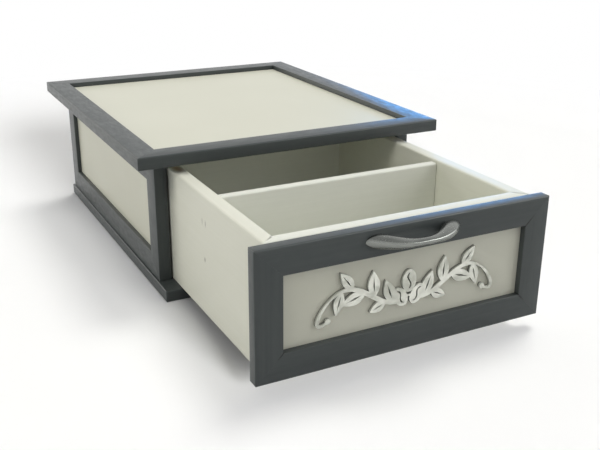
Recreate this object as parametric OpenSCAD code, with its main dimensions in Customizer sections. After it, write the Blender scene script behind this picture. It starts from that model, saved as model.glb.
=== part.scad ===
// Countertop drawer unit for coffee pods, in millimetres.
// A low cabinet of mitred frames and panels holds one plain wooden drawer, which slides on the base board.
// X runs left to right, Y front to back, Z up. The origin is the centre of the base board's underside.
// The drawer is drawn pulled out by drawer_open.

/* [Top] */
// Width of the top, left to right
top_w = 350; // [320:1:420]
// Depth of the top, front to back
top_d = 400; // [380:1:480]
// Thickness of the top frame
top_t = 13; // [10:0.5:18]
// Width of the rails of the top frame
top_rail_w = 25; // [20:1:40]
// Thickness of the panel in the top frame
top_panel_t = 7.5; // [4:0.5:8]
// How far the field of the top panel stands up from its rebated edge
top_field_step = 2; // [0.5:0.5:3]
// Gap between the field of the top panel and the frame round it
top_reveal = 0.5; // [0.3:0.1:1.5]
// How far the top stands out past the sides
top_over_side = 23; // [12:1:30]
// How far the top stands out past the front
top_over_front = 24.5; // [10:0.5:30]
// How far the top stands out past the back
top_over_back = 14; // [0:1:25]

/* [Sides and back] */
// Clear height between base board and top
body_h = 131; // [115:1:170]
// Thickness of the side frames
side_t = 13.5; // [12:0.5:20]
// Width of the rails and stiles of the side frames
side_rail_w = 25.5; // [20:0.5:35]
// Thickness of the side panels, and width of their grooves
side_panel_t = 4; // [3:0.5:6]
// How far a side panel lies below the outer face of its frame
side_panel_recess = 5; // [3:0.5:6]
// Depth of the grooves that hold the side panels
side_groove_d = 6; // [4:0.5:8]
// Thickness of the back panel
back_panel_t = 6; // [4:0.5:9]
// How far the back panel reaches into each side frame
back_rebate_w = 7; // [5:0.5:8]

/* [Base] */
// Thickness of the base board
base_t = 13; // [9:0.5:18]
// How far the base board stands out past the front
base_over_front = 26; // [15:1:30]
// How far the base board stands out past each side
base_over_side = 2; // [0:0.5:8]
// How far the base board stands out past the back
base_over_back = 5.5; // [0:0.5:12]

/* [Drawer box] */
// How far the drawer is drawn pulled out
drawer_open = 225; // [0:1:300]
// Length of the drawer's side boards
drawer_len = 342; // [300:1:345]
// Thickness of the drawer's side boards
drawer_side_t = 14; // [10:0.5:18]
// Thickness of the inner front board and the back board
drawer_end_t = 13; // [10:0.5:16]
// Thickness of the drawer's bottom
drawer_floor_t = 5; // [3:0.5:6]
// Height of the bottom's groove above the boards' lower edges
drawer_floor_up = 5; // [4:0.5:10]
// Depth of the grooves that hold the bottom
drawer_floor_groove = 4; // [3:0.5:5]
// Clearance between each drawer side and its side frame
drawer_gap_side = 2; // [0.5:0.5:4]
// Running clearance between drawer and base board
drawer_gap_under = 0.5; // [0.3:0.1:1]
// Length of the front compartment
front_pocket = 113; // [60:1:200]
// Thickness of the divider
divider_t = 10; // [8:0.5:14]
// How far the divider's top lies below the side boards' tops
divider_drop = 3; // [0:0.5:20]
// Gap between each end of the divider and the side board
divider_gap = 0.7; // [0:0.1:0.9]
// Radius of the rounded top edges of the drawer boards
board_round = 2; // [1:0.5:4]

/* [Drawer front] */
// Thickness of the front frame
front_t = 12; // [10:0.5:16]
// Width of the members of the front frame
front_rail_w = 26; // [22:0.5:32]
// Thickness of the front panel
front_panel_t = 6; // [4:0.5:8]
// How far the front is narrower than the body, on each side
front_gap_side = 1.5; // [0:0.5:5]
// Clearance between the front and the base board
front_gap_under = 1; // [0.5:0.5:3]
// Clearance between the front and the top
front_gap_top = 8; // [2:0.5:12]
// Space left behind the front when the drawer is shut
shut_gap = 0.5; // [0.3:0.1:2]

/* [Handle] */
// Overall length of the bow handle
handle_len = 97; // [90:1:130]
// Distance between the two screws
handle_pitch = 76; // [64:1:96]
// Height of the handle's feet
handle_foot_h = 12.5; // [11:0.5:18]
// How far the handle sits above the middle of the front's top rail
handle_rise = 2; // [0:0.5:3]
// Height of the grip at the middle
grip_h = 6.5; // [5:0.5:10]
// Reach of the grip in front of the drawer front
grip_reach = 24; // [20:0.5:30]
// Thickness of the grip at the middle
grip_t = 9; // [6:0.5:11]
// Length of the arch between the feet
grip_span = 54; // [44:1:60]
// Radius of the machine screws
machine_screw_r = 2; // [1.5:0.25:2]
// How far the machine screws go into the feet
machine_screw_grip = 6; // [4:0.5:7]

/* [Ornament] */
// Thickness of the cut-out ornament
ornament_t = 3; // [2:0.5:5]
// Space left beside the ornament, on the panel
ornament_margin_side = 31; // [10:1:50]
// Space left above and below the ornament, on the panel
ornament_margin_top = 8; // [4:0.5:14]

/* [Fastenings and edges] */
// Radius of the wood screws
wood_screw_r = 1.75; // [1.5:0.25:2]
// Distance of the base screws from the ends of the side frames
base_screw_inset = 45; // [40:1:90]
// Radius of the brads
brad_r = 0.7; // [0.5:0.1:1]
// Distance of the brads from the edges of a board
brad_inset = 24; // [20:1:30]
// Length of a brad in the second board
brad_grip = 18; // [12:1:20]
// Radius of the eased edges of frames and base board
edge_ease = 1.5; // [0.5:0.25:2.5]
// Radius of the sharp edges round the panels
arris = 0.6; // [0.3:0.1:1]
// Clearance round a panel in its rebate or groove
panel_fit = 0.2; // [0.1:0.1:0.5]
// Clearance round a screw or brad in its hole
hole_fit = 0.05; // [0.05:0.05:0.3]

/* [Hidden] */
// Body, base and top, in plan
body_w = top_w - 2 * top_over_side;
body_d = top_d - top_over_front - top_over_back;
base_w = body_w + 2 * base_over_side;
base_d = body_d + base_over_front + base_over_back;
body_front = -base_d / 2 + base_over_front;
body_back = body_front + body_d;
top_front = body_front - top_over_front;
top_back = top_front + top_d;
// Heights
body_foot = base_t;
body_head = body_foot + body_h;
// Top panel's edge, which lies under the lips of the top frame
top_edge_t = top_panel_t - top_field_step;
// Drawer box
drawer_w = body_w - 2 * side_t - 2 * drawer_gap_side;
drawer_in_w = drawer_w - 2 * drawer_side_t;
drawer_front = body_front - shut_gap - drawer_open;
drawer_back = drawer_front + drawer_len;
drawer_foot = base_t + drawer_gap_under;
drawer_head = body_head - front_gap_top;
floor_z = drawer_foot + drawer_floor_up;
floor_top = floor_z + drawer_floor_t;
divider_front = drawer_front + drawer_end_t + front_pocket;
// Drawer front
front_w = body_w - 2 * front_gap_side;
front_foot = base_t + front_gap_under;
front_h = drawer_head - front_foot;
front_face = drawer_front - front_t;
front_in_w = front_w - 2 * front_rail_w;
front_in_h = front_h - 2 * front_rail_w;
// How far the lips of the top and front frames reach over their panels
rebate_w = 8;
// Handle and its screws
front_rail_z = drawer_head - front_rail_w / 2;
handle_z = front_rail_z + handle_rise;
machine_screw_len = drawer_end_t + front_t + machine_screw_grip;
machine_head_r = 2 * machine_screw_r;
machine_head_t = 1.3 * machine_screw_r;
machine_hole_spare = 1;
// Wood screws
wood_head_r = 2.1 * wood_screw_r;
wood_tip = 2 * wood_screw_r;
screw_end_cover = 4;
base_screw_len = base_t + side_rail_w - side_groove_d - screw_end_cover;
front_screw_len = drawer_end_t + front_t - screw_end_cover;
front_screw_x = drawer_in_w / 2 - brad_inset;
screw_floor_gap = 1;
front_screw_low = floor_top + wood_head_r + screw_floor_gap;
slot_w = 1;
// Brads
brad_head_r = 1.6 * brad_r;
brad_head_t = 0.8;
brad_sink = 0.3;
back_brad_grip = 14;
// Ornament, on the visible part of the front panel
ornament_w = front_in_w - 2 * ornament_margin_side;
ornament_h = front_in_h - 2 * ornament_margin_top;
ornament_z = front_foot + front_h / 2;
ornament_back = front_face + front_t - front_panel_t;
// Steps in a quarter round, and in whole rounds
ease_steps = 4;
$fn = 48;
// Pushes cutters through the faces they open
cut = 1;

grey = "#5c6362";
cream = "#dcdbcb";
steel = "#9a9d9c";
nickel = "#b4b6b1";
mirror = "#dfe3e2";

// ---------- Sections of the timber ----------

// Points of a quarter round of radius r about c, from angle a; a radius of 0 gives the corner itself
function quarter(c, r, a) =
  r > 0 ? [for (i = [0:ease_steps]) c + r * [cos(a + 90 * i / ease_steps), sin(a + 90 * i / ease_steps)]] : [c];

// Rectangle w by h with its four corners rounded: low left, low right, high right, high left
function eased_rect(w, h, r) = concat(
  quarter([r[0], r[0]], r[0], 180),
  quarter([w - r[1], r[1]], r[1], 270),
  quarter([w - r[2], h - r[2]], r[2], 0),
  quarter([r[3], h - r[3]], r[3], 90)
);

// Frame member with a rebate along its inner edge, low side; x runs from the outer to the inner edge
function rebated_section(w, t, panel_t) = concat(
  quarter([edge_ease, edge_ease], edge_ease, 180),
  [[w - rebate_w, 0], [w - rebate_w, panel_t], [w, panel_t]],
  quarter([w - arris, t - arris], arris, 0),
  quarter([edge_ease, t - edge_ease], edge_ease, 90)
);

// Frame member with a groove in its inner edge
function grooved_section(w, t, groove_d, groove_t, groove_low) = concat(
  quarter([arris, arris], arris, 180),
  [[w, 0], [w, groove_low], [w - groove_d, groove_low], [w - groove_d, groove_low + groove_t],
   [w, groove_low + groove_t]],
  quarter([w - arris, t - arris], arris, 0),
  quarter([arris, t - arris], arris, 90)
);

// ---------- Mitred frames ----------

// Bar along X with its outer edge on the X axis, mitred at 45 degrees at both ends
module mitred_bar(length, w, section, corner) {
  half = length / 2;
  tip = corner * (1 - sqrt(0.5));
  intersection() {
    translate([-half, 0, 0]) rotate([90, 0, 90]) linear_extrude(length) polygon(section);
    linear_extrude(3 * w, center = true)
      polygon(concat(
        [for (i = [0:ease_steps]) let(a = 225 + 45 * i / ease_steps)
          [-half + corner + corner * cos(a), corner + corner * sin(a)]],
        [for (i = [0:ease_steps]) let(a = 270 + 45 * i / ease_steps)
          [half - corner + corner * cos(a), corner + corner * sin(a)]],
        [[half - w, w], [-half + w, w]]
      ));
  }
}

// One member of a frame that lies flat: x from -frame_w / 2, y from 0 to frame_h, thickness up
module frame_member(place, frame_w, frame_h, w, section, corner) {
  if (place == "low")
    mitred_bar(frame_w, w, section, corner);
  if (place == "high")
    translate([0, frame_h, 0]) rotate([0, 0, 180]) mitred_bar(frame_w, w, section, corner);
  if (place == "left")
    translate([-frame_w / 2, frame_h / 2, 0]) rotate([0, 0, -90]) mitred_bar(frame_h, w, section, corner);
  if (place == "right")
    translate([frame_w / 2, frame_h / 2, 0]) rotate([0, 0, 90]) mitred_bar(frame_h, w, section, corner);
}

module top_member(place) {
  color(grey) translate([0, top_front, body_head])
    frame_member(place, top_w, top_d, top_rail_w, rebated_section(top_rail_w, top_t, top_edge_t), edge_ease);
}

// Side members lie in a frame stood on its edge; side is -1 for the left and 1 for the right
module stand_side(side) {
  translate([side * (body_w / 2 - side_t), (body_front + body_back) / 2, body_foot])
    rotate([90, 0, side * 90]) children();
}

module side_member(side, place) {
  groove_low = side_t - side_panel_recess - side_panel_t;
  section = grooved_section(side_rail_w, side_t, side_groove_d, side_panel_t, groove_low);
  color(grey) difference() {
    stand_side(side) frame_member(place, body_d, body_h, side_rail_w, section, arris);
    back_rebate(side);
    base_screw_set(hole_fit);
    back_brad_set(hole_fit);
  }
}

// The rebate for the back panel, cut along the inner back edge of a side frame
module back_rebate(side) {
  translate([side * (body_w / 2 - side_t + back_rebate_w / 2), body_back, body_foot + body_h / 2])
    cube([back_rebate_w, 2 * back_panel_t, body_h + 2 * cut], center = true);
  translate([side * (body_w / 2 - side_t), body_back, body_foot + body_h / 2])
    cube([2 * cut, 2 * back_panel_t, body_h + 2 * cut], center = true);
}

module front_member(place) {
  section = rebated_section(front_rail_w, front_t, front_panel_t);
  color(grey) difference() {
    translate([0, drawer_front, front_foot]) rotate([90, 0, 0])
      frame_member(place, front_w, front_h, front_rail_w, section, edge_ease);
    front_screw_set(hole_fit);
    machine_screw_set(hole_fit);
  }
}

// ---------- Panels ----------

// Part of the top panel that lies in by inset from the outline of the top
module top_slab(inset, t) {
  w = top_w - 2 * inset;
  d = top_d - 2 * inset;
  translate([-w / 2, top_front + inset, body_head]) cube([w, d, t]);
}

module top_panel() {
  color(cream) union() {
    top_slab(top_rail_w - rebate_w + panel_fit, top_edge_t);
    top_slab(top_rail_w + top_reveal, top_panel_t);
  }
}

module side_panel(side) {
  w = body_d - 2 * (side_rail_w - side_groove_d + panel_fit);
  h = body_h - 2 * (side_rail_w - side_groove_d + panel_fit);
  low = side_t - side_panel_recess - side_panel_t;
  color(cream) stand_side(side)
    translate([-w / 2, (body_h - h) / 2, low]) cube([w, h, side_panel_t]);
}

module back_panel() {
  w = body_w - 2 * side_t + 2 * (back_rebate_w - panel_fit);
  color(grey) difference() {
    translate([-w / 2, body_back - back_panel_t, body_foot]) cube([w, back_panel_t, body_h]);
    back_brad_set(hole_fit);
  }
}

module drawer_front_panel() {
  w = front_in_w + 2 * (rebate_w - panel_fit);
  h = front_in_h + 2 * (rebate_w - panel_fit);
  color(cream) translate([-w / 2, drawer_front - front_panel_t, ornament_z - h / 2])
    cube([w, front_panel_t, h]);
}

// ---------- Boards ----------

// Board with all its edges eased, its lowest corner at the origin
module eased_board(size, r) {
  intersection() {
    linear_extrude(size[2]) polygon(eased_rect(size[0], size[1], [r, r, r, r]));
    rotate([90, 0, 90]) linear_extrude(size[0]) polygon(eased_rect(size[1], size[2], [r, r, r, r]));
    translate([0, size[1], 0]) rotate([90, 0, 0])
      linear_extrude(size[1]) polygon(eased_rect(size[0], size[2], [r, r, r, r]));
  }
}

module base_board() {
  color(grey) difference() {
    translate([-base_w / 2, -base_d / 2, 0]) eased_board([base_w, base_d, base_t], edge_ease);
    base_screw_set(hole_fit);
  }
}

// Space of the drawer's bottom with its edges in the four grooves, grown by fit all round
module floor_slab(fit) {
  w = drawer_in_w + 2 * (drawer_floor_groove + fit);
  d = drawer_len - 2 * (drawer_end_t - drawer_floor_groove - fit);
  translate([-w / 2, drawer_front + (drawer_len - d) / 2, floor_z]) cube([w, d, drawer_floor_t]);
}

// Part of a board of the drawer box within its plan; the boards meet in mitres at the corners
module mitred_to(plan) {
  intersection() {
    children();
    translate([0, 0, drawer_foot - cut]) linear_extrude(drawer_head - drawer_foot + 2 * cut) polygon(plan);
  }
}

// Cross-section of a board of the drawer box, standing on edge
function box_section(t) = eased_rect(t, drawer_head - drawer_foot, [arris, arris, board_round, board_round]);

module drawer_side_board(side) {
  plan = [
    [drawer_in_w / 2, drawer_front + drawer_end_t], [drawer_w / 2, drawer_front],
    [drawer_w / 2, drawer_back], [drawer_in_w / 2, drawer_back - drawer_end_t]
  ];
  color(cream) mirror([side < 0 ? 1 : 0, 0, 0]) difference() {
    mitred_to(plan)
      translate([drawer_in_w / 2, drawer_back, drawer_foot]) rotate([90, 0, 0])
        linear_extrude(drawer_len) polygon(box_section(drawer_side_t));
    floor_slab(0);
    corner_brad_set(hole_fit);
    divider_brad_set(hole_fit);
  }
}

// Board across the end of the drawer box from y; it is w_low wide at y and w_high wide on its other face
module end_board(y, w_low, w_high) {
  far = y + drawer_end_t;
  difference() {
    mitred_to([[-w_low / 2, y], [w_low / 2, y], [w_high / 2, far], [-w_high / 2, far]])
      translate([-drawer_w / 2, y, drawer_foot]) rotate([90, 0, 90])
        linear_extrude(drawer_w) polygon(box_section(drawer_end_t));
    floor_slab(0);
    corner_brad_set(hole_fit);
  }
}

module drawer_inner_front() {
  color(cream) difference() {
    end_board(drawer_front, drawer_w, drawer_in_w);
    front_screw_set(hole_fit);
    machine_screw_set(hole_fit);
  }
}

module drawer_back_board() {
  color(cream) end_board(drawer_back - drawer_end_t, drawer_in_w, drawer_w);
}

module drawer_bottom() {
  color(cream) floor_slab(-panel_fit);
}

module drawer_divider() {
  w = drawer_in_w - 2 * divider_gap;
  h = drawer_head - divider_drop - floor_top;
  color(cream) difference() {
    translate([-w / 2, divider_front, floor_top]) rotate([90, 0, 90])
      linear_extrude(w) polygon(eased_rect(divider_t, h, [0, 0, board_round, board_round]));
    divider_brad_set(hole_fit);
  }
}

// ---------- Screws and brads ----------

// Countersunk wood screw that goes in along +Z, its head flush at z = 0; fit > 0 gives its hole
module wood_screw(length, fit) {
  tip = fit > 0 ? 0 : wood_tip;
  head_t = wood_head_r - wood_screw_r;
  difference() {
    union() {
      cylinder(h = head_t, r1 = wood_head_r + fit, r2 = wood_screw_r + fit);
      cylinder(h = length - tip + fit, r = wood_screw_r + fit);
      if (tip > 0) translate([0, 0, length - tip]) cylinder(h = tip, r1 = wood_screw_r, r2 = brad_r / 2);
      if (fit > 0) translate([0, 0, -cut]) cylinder(h = cut, r = wood_head_r + fit);
    }
    if (fit == 0) cross_slot(wood_head_r, head_t);
  }
}

// Cross recess in a screw head at z = 0
module cross_slot(head_r, depth) {
  for (a = [0, 90]) rotate([0, 0, a])
    cube([1.3 * head_r, slot_w, 1.4 * depth], center = true);
}

// Pan-head machine screw that goes in along +Z, its head standing out below z = 0
module machine_screw(length, fit) {
  edge = machine_head_t / 2;
  difference() {
    union() {
      cylinder(h = length + (fit > 0 ? machine_hole_spare : 0), r = machine_screw_r + fit);
      if (fit == 0) translate([0, 0, -machine_head_t]) {
        cylinder(h = edge, r1 = machine_head_r - edge, r2 = machine_head_r);
        translate([0, 0, edge]) cylinder(h = machine_head_t - edge, r = machine_head_r);
      }
    }
    if (fit == 0) translate([0, 0, -machine_head_t]) cross_slot(machine_head_r, edge);
  }
}

// Brad that goes in along +Z with its head sunk below z = 0
module brad(length, fit) {
  union() {
    translate([0, 0, brad_sink]) cylinder(h = brad_head_t, r = brad_head_r + fit);
    translate([0, 0, brad_sink]) cylinder(h = length - brad_sink + fit, r = brad_r + fit);
    if (fit > 0) translate([0, 0, -cut]) cylinder(h = cut + brad_sink + cut / 2, r = brad_head_r + fit);
  }
}

module base_screw_set(fit) {
  middle = (body_front + body_back) / 2;
  reach = body_d / 2 - base_screw_inset;
  for (side = [-1, 1], row = [-1, 0, 1])
    translate([side * (body_w - side_t) / 2, middle + row * reach, 0]) wood_screw(base_screw_len, fit);
}

module front_screw_set(fit) {
  for (side = [-1, 1], z = [front_screw_low, front_rail_z])
    translate([side * front_screw_x, drawer_front + drawer_end_t, z]) rotate([90, 0, 0])
      wood_screw(front_screw_len, fit);
}

module machine_screw_set(fit) {
  for (side = [-1, 1])
    translate([side * handle_pitch / 2, drawer_front + drawer_end_t, handle_z]) rotate([90, 0, 0])
      machine_screw(machine_screw_len, fit);
}

module back_brad_set(fit) {
  x = body_w / 2 - side_t + back_rebate_w / 2;
  middle = body_foot + body_h / 2;
  reach = body_h / 2 - brad_inset;
  for (side = [-1, 1], row = [-1, 0, 1])
    translate([side * x, body_back, middle + row * reach]) rotate([90, 0, 0])
      brad(back_panel_t + back_brad_grip, fit);
}

// Brads through both side boards at depth y, in the given rows
module side_brads(y, rows, fit) {
  for (side = [-1, 1], z = rows)
    translate([side * drawer_w / 2, y, z]) rotate([0, -side * 90, 0]) brad(drawer_side_t + brad_grip, fit);
}

module corner_brad_set(fit) {
  low = floor_top + brad_inset / 2;
  high = drawer_head - brad_inset;
  for (y = [drawer_front + drawer_end_t / 2, drawer_back - drawer_end_t / 2])
    side_brads(y, [low, (low + high) / 2, high], fit);
}

module divider_brad_set(fit) {
  high = drawer_head - divider_drop - brad_inset;
  low = floor_top + 2 * brad_inset;
  side_brads(divider_front + divider_t / 2, [low, high], fit);
}

// ---------- Bow handle ----------

// Smooth step from 0 at a to 1 at b
function blend(x, a, b) = let(t = min(max((x - a) / (b - a), 0), 1)) t * t * (3 - 2 * t);

// Height of the handle at x from its middle: slim grip, wide feet that taper to their tips like a leaf
function handle_h(x) =
  let(end_r = handle_foot_h * 1.3, over = (abs(x) - handle_len / 2 + end_r) / end_r)
  (grip_h + (handle_foot_h - grip_h) * blend(abs(x), handle_len * 0.08, handle_pitch * 0.46))
  * (over > 0 ? sqrt(max(1 - over * over, 0.02)) : 1);

// Outer and inner faces of the bow, as distances from the drawer front
function bow_out(x) = grip_reach * max(1 - pow(abs(2 * x / handle_len), 2.9), 0.03);
function bow_in(x) = (grip_reach - grip_t) * (1 - pow(2 * x / grip_span, 2));

// Ring of points of the handle's section at x; the feet are cut flat where they meet the drawer front
function handle_ring(x) =
  let(h = handle_h(x), high = bow_out(x), low = max(bow_in(x), -0.6 * high))
  [for (i = [0:ring_points - 1]) let(a = 360 * i / ring_points)
    [x, -max(0, low + (high - low) * (1 + sin(a)) / 2), h / 2 * cos(a)]];

ring_points = 20;
ring_count = 41;

module bow_handle() {
  rings = [for (k = [0:ring_count - 1]) handle_ring(handle_len / 2 * sin(-90 + 180 * k / (ring_count - 1)))];
  last = (ring_count - 1) * ring_points;
  walls = [for (k = [0:ring_count - 2], i = [0:ring_points - 1])
    let(a = k * ring_points + i, b = k * ring_points + (i + 1) % ring_points)
    each [[a, b, b + ring_points], [a, b + ring_points, a + ring_points]]];
  start_cap = [for (i = [1:ring_points - 2]) [0, i + 1, i]];
  end_cap = [for (i = [1:ring_points - 2]) [last, last + i, last + i + 1]];
  color(nickel) difference() {
    translate([0, front_face, handle_z])
      polyhedron(
        points = [for (ring = rings, p = ring) p],
        faces = concat(walls, start_cap, end_cap)
      );
    machine_screw_set(hole_fit);
  }
}

// ---------- Ornament: a coffee sprig cut from sheet ----------

function curve(p, t) =
  pow(1 - t, 3) * p[0] + 3 * t * pow(1 - t, 2) * p[1] + 3 * t * t * (1 - t) * p[2] + pow(t, 3) * p[3];
function curve_dir(p, t) =
  let(d = pow(1 - t, 2) * (p[1] - p[0]) + 2 * t * (1 - t) * (p[2] - p[1]) + t * t * (p[3] - p[2])) d / norm(d);

// Ribbon along a curve, thin at its ends and thick at its middle
module ribbon(p, thin, thick) {
  steps = 16;
  half = [for (i = [0:steps]) (thin + (thick - thin) * sin(180 * i / steps)) / 2];
  left = [for (i = [0:steps]) let(d = curve_dir(p, i / steps)) curve(p, i / steps) + half[i] * [-d[1], d[0]]];
  right = [for (i = [steps:-1:0]) let(d = curve_dir(p, i / steps)) curve(p, i / steps) - half[i] * [-d[1], d[0]]];
  polygon(concat(left, right));
}

// Pointed leaf from the origin along +X
module leaf(length, w) {
  steps = 12;
  edge = [for (i = [0:steps]) let(t = i / steps) [length * t, w / 2 * sin(180 * pow(t, 0.85))]];
  back = [for (i = [steps - 1:-1:1]) let(t = i / steps) [length * t, -w / 2 * sin(180 * pow(t, 0.85))]];
  polygon(concat(edge, back));
}

// Slot of a leaf's vein
module vein(length, w) {
  polygon([[length * 0.18, 0], [length * 0.42, -w * 0.07], [length * 0.82, 0], [length * 0.42, w * 0.07]]);
}

module bean(length, w) {
  steps = 32;
  polygon([for (i = [0:steps - 1]) [length / 2 * cos(360 * i / steps), w / 2 * sin(360 * i / steps)]]);
}

// Slot of a coffee bean's crease, an S along its length
module crease(length, w) {
  line = [for (i = [-6:6]) [length * 0.36 * i / 6, w * 0.12 * sin(30 * i)]];
  polygon(concat([for (p = line) p + [0, w * 0.055]], [for (i = [12:-1:0]) line[i] - [0, w * 0.055]]));
}

// Cuts an outline from the sheet, or through it where slots is true
module sheet(slots) {
  if (slots) translate([0, 0, -cut]) linear_extrude(ornament_t + 2 * cut) children();
  else linear_extrude(ornament_t) children();
}

// The sprig is made twice, once for its shapes and once for the slots cut in them
module half_sprig(slots) {
  x = ornament_w / 2;
  z = ornament_h / 2;
  stem = [[0, -0.34 * z], [0.30 * x, -1.10 * z], [0.52 * x, 0.95 * z], [0.84 * x, 0.10 * z]];
  curl = [[0.84 * x, 0.10 * z], [1.02 * x, -0.42 * z], [1.03 * x, -1.05 * z], [0.86 * x, -0.62 * z]];
  // Share of the way along the stem, angle from it, length and width of each leaf
  leaves = [
    [0.20, 62, 0.92, 0.44], [0.30, -46, 0.66, 0.36], [0.46, 52, 0.94, 0.44],
    [0.58, -48, 0.95, 0.44], [0.74, 38, 0.80, 0.38], [0.88, -62, 0.84, 0.38]
  ];
  for (l = leaves) {
    d = curve_dir(stem, l[0]);
    translate(curve(stem, l[0])) rotate(atan2(d[1], d[0]) + l[1]) sheet(slots)
      if (slots) vein(l[2] * z, l[3] * z);
      else leaf(l[2] * z, l[3] * z);
  }
  translate([0.32 * z, -0.36 * z]) rotate(58) sheet(slots)
    if (slots) crease(0.74 * z, 0.50 * z);
    else bean(0.74 * z, 0.50 * z);
  if (!slots) {
    sheet(false) ribbon(stem, 0.07 * z, 0.17 * z);
    sheet(false) ribbon(curl, 0.07 * z, 0.12 * z);
    translate(curve(curl, 0.98)) sheet(false) circle(r = 0.10 * z);
  }
}

module sprig(slots) {
  z = ornament_h / 2;
  half_sprig(slots);
  mirror([1, 0, 0]) half_sprig(slots);
  translate([0, 0.16 * z]) rotate(90) sheet(slots)
    if (slots) crease(0.80 * z, 0.54 * z);
    else bean(0.80 * z, 0.54 * z);
}

module front_ornament() {
  color(mirror) translate([0, ornament_back, ornament_z]) rotate([90, 0, 0])
    difference() {
      sprig(false);
      sprig(true);
    }
}

// ---------- Nodes ----------

top_member("low");  // top_frame_front_rail
top_member("high");  // top_frame_back_rail
top_member("left");  // top_frame_left_rail
top_member("right");  // top_frame_right_rail
top_panel();
side_member(-1, "high");  // left_side_top_rail
side_member(-1, "low");  // left_side_bottom_rail
side_member(-1, "right");  // left_side_front_stile
side_member(-1, "left");  // left_side_back_stile
side_panel(-1);  // left_side_panel
side_member(1, "high");  // right_side_top_rail
side_member(1, "low");  // right_side_bottom_rail
side_member(1, "left");  // right_side_front_stile
side_member(1, "right");  // right_side_back_stile
side_panel(1);  // right_side_panel
back_panel();
color(steel) back_brad_set(0);  // back_panel_brads
base_board();
color(steel) base_screw_set(0);  // base_screws
drawer_side_board(-1);  // drawer_left_board
drawer_side_board(1);  // drawer_right_board
drawer_inner_front();
drawer_back_board();
drawer_bottom();
drawer_divider();
color(steel) corner_brad_set(0);  // drawer_corner_brads
color(steel) divider_brad_set(0);  // divider_brads
front_member("high");  // drawer_front_top_rail
front_member("low");  // drawer_front_bottom_rail
front_member("left");  // drawer_front_left_stile
front_member("right");  // drawer_front_right_stile
drawer_front_panel();
color(steel) front_screw_set(0);  // drawer_front_screws
bow_handle();
color(steel) machine_screw_set(0);  // handle_screws
front_ornament();
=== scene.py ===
import math

import bpy
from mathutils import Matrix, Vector


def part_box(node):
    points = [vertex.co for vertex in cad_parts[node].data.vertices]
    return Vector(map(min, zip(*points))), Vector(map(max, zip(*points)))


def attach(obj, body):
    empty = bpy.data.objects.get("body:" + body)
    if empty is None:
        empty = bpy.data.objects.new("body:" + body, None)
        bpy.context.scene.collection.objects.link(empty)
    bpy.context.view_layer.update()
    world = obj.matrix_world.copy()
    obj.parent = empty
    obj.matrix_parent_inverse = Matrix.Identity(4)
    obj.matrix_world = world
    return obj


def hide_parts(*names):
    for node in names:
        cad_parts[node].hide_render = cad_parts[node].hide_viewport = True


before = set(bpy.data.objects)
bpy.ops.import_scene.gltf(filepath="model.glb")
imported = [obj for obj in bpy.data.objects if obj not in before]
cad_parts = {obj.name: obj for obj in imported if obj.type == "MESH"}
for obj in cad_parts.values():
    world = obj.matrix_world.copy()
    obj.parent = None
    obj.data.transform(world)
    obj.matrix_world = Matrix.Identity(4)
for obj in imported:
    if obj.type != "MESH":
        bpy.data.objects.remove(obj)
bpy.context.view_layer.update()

MM = 0.001
NEAR = 0.1 * MM  # places closer than this count as one

# Camera
CAMERA_PLACE = (-0.40471, -0.97383, 0.39652)
CAMERA_TURN = (68.976, -0.336, -27.382)  # degrees about X, Y and Z
CAMERA_LENS = 52.025
SENSOR_WIDTH = 36.0

# Lamps: the direction each comes from, what it gives a white surface that faces it, its width in degrees
KEY_LIGHT = ((0.40, 0.22, 1.0), 0.44, 22)
LEFT_LIGHT = ((-0.85, -0.25, 0.80), 0.25, 24)
BACK_LIGHT = ((-0.65, 0.75, 0.10), 0.37, 36)
RIGHT_LIGHT = ((1.0, -0.55, 0.60), 0.37, 60)
SHADOW_LIGHT = ((0.03, -0.95, 0.31), 1.55, 17)
WARM = (1.0, 0.98, 0.90)
PALE_WARM = (1.0, 0.99, 0.95)
SURROUNDINGS = 0.31  # even light from all round

# Blue sheet and window, which only glossy surfaces show: place, the point each faces, size, and colour
# with its brightness
SKY_PLACE = (1.88, 1.90, 0.56)
SKY_FACES = (0.1, -0.1, 0.1)
SKY_SIZE = (0.72, 0.5)
SKY = (0.65, 3.1, 7.4)
WINDOW_PLACE = (0.98, -1.20, 1.04)
WINDOW_FACES = (0.0, -0.43, 0.12)
WINDOW_SIZE = (0.6, 0.4)
WINDOW = (8.0, 8.2, 8.2)

# Ceiling that metal shows: it starts at this upward share of a ray's direction
CEILING_START = 0.5
CEILING_END = 0.85
CEILING_SHOWN = 0.55

# Floor: how much light it throws back on the object, how it shows, and how far its shadow is lifted
FLOOR_SIZE = 24
FLOOR_BOUNCE = (0.45, 0.45, 0.45)
FLOOR_SHOWN = (0.84, 0.84, 0.84)
FLOOR_LIFT = 0.04
SHADOW_MIDDLE = (0, -0.1, 0)
FADE_START = 0.75  # metres from the middle of the object's shadow
FADE_END = 1.15

# Brushed paint: repeats per metre along and across the grain, and how the layers add up
STREAKS = (7, 330)
PORES = (30, 1500)
CLOUDS = (70, 190)
STREAK_SHARE = 0.6
CLOUD_SHARE = 0.4
PORE_HEIGHT = 0.35  # beside a height of 1 for the streaks
PAINT_RANGE = (0.38, 0.62)  # from thin to thick paint
NOISE_RANGE = (0.3, 0.7)  # where most of a noise's values lie
SMOOTHER = 0.06
ROUGHER = 0.08
PAINT_IOR = 1.38

# Grey paint, with its linear colours
GREY_THIN = (0.0585, 0.067, 0.0665)
GREY_THICK = (0.0505, 0.059, 0.0595)
GREY_ROUGHNESS = 0.36
GREY_RELIEF = 0.06 * MM

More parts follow.
